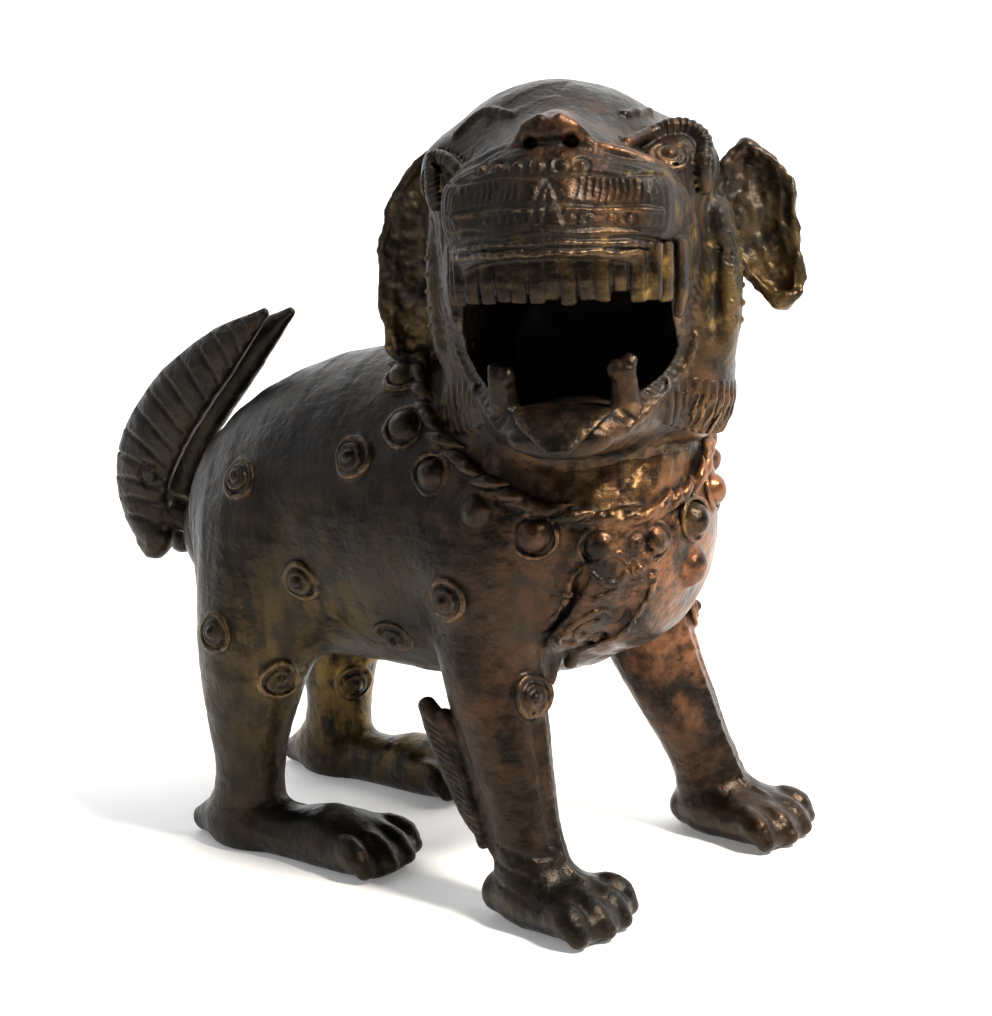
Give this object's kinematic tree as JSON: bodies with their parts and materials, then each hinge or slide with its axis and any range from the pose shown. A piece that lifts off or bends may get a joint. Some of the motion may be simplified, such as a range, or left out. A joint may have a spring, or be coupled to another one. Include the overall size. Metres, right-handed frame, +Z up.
{
  "type": "foo dog statue",
  "caption": "Hollow cast bronze foo dog standing on four paws, head turned and mouth wide open, with a rope collar, bells, coiled bosses and an upright flame tail.",
  "frame": {"origin": "on the floor, under the middle of the figure's bounding box", "axes": "+Z up; the body faces -Y; the figure's right side is at -X; the head is turned towards -X"},
  "size_m": [0.0732, 0.1478, 0.1427],
  "materials": {
    "bronze_dark": "aged, semi-gloss, dark brown patina",
    "bronze_copper": "aged, semi-gloss, worn to copper red",
    "bronze_gold": "aged, satin, olive gold in the hollows"
  },
  "bodies": {
    "root": {"bell_1": "bronze_copper", "bell_10": "bronze_copper", "bell_11": "bronze_copper", "bell_12": "bronze_copper", "bell_2": "bronze_copper", "bell_3": "bronze_copper", "bell_4": "bronze_copper", "bell_5": "bronze_copper", "bell_6": "bronze_copper", "bell_7": "bronze_copper", "bell_8": "bronze_copper", "bell_9": "bronze_copper", "boss_back": "bronze_dark", "boss_belly_right": "bronze_dark", "boss_flank_left": "bronze_dark", "boss_flank_right": "bronze_dark", "boss_foreleg_left": "bronze_dark", "boss_foreleg_right": "bronze_dark", "boss_knee_right": "bronze_dark", "boss_ribs_left": "bronze_dark", "boss_ribs_right": "bronze_dark", "boss_rump_right": "bronze_dark", "boss_shin_left": "bronze_dark", "boss_shoulder_right": "bronze_dark", "boss_thigh_right": "bronze_dark", "brow_rope_left": "bronze_dark", "brow_rope_right": "bronze_dark", "cheek_flap_left": "bronze_dark", "cheek_flap_right": "bronze_dark", "cheek_ruff_left": "bronze_dark", "cheek_ruff_right": "bronze_dark", "chest_bib": "bronze_copper", "collar_rope": "bronze_copper", "corner_fang_left": "bronze_gold", "corner_fang_right": "bronze_gold", "ear_left": "bronze_gold", "ear_right": "bronze_gold", "elbow_fin_left": "bronze_dark", "elbow_fin_right": "bronze_dark", "eye_left": "bronze_dark", "eye_right": "bronze_dark", "foreleg_left": "bronze_copper", "foreleg_right": "bronze_dark", "head_shell": "bronze_dark", "hind_leg_left": "bronze_dark", "hind_leg_right": "bronze_dark", "lower_fang_left": "bronze_dark", "lower_fang_right": "bronze_dark", "lower_jaw": "bronze_dark", "neck_sleeve": "bronze_copper", "nose": "bronze_copper", "snout_strap_left": "bronze_copper", "snout_strap_right": "bronze_copper", "tail_lobe_left": "bronze_dark", "tail_lobe_right": "bronze_dark", "tail_root": "bronze_dark", "tongue": "bronze_dark", "torso_shell": "bronze_dark", "upper_jaw": "bronze_dark", "upper_teeth": "bronze_gold"}
  },
  "joints": []
}
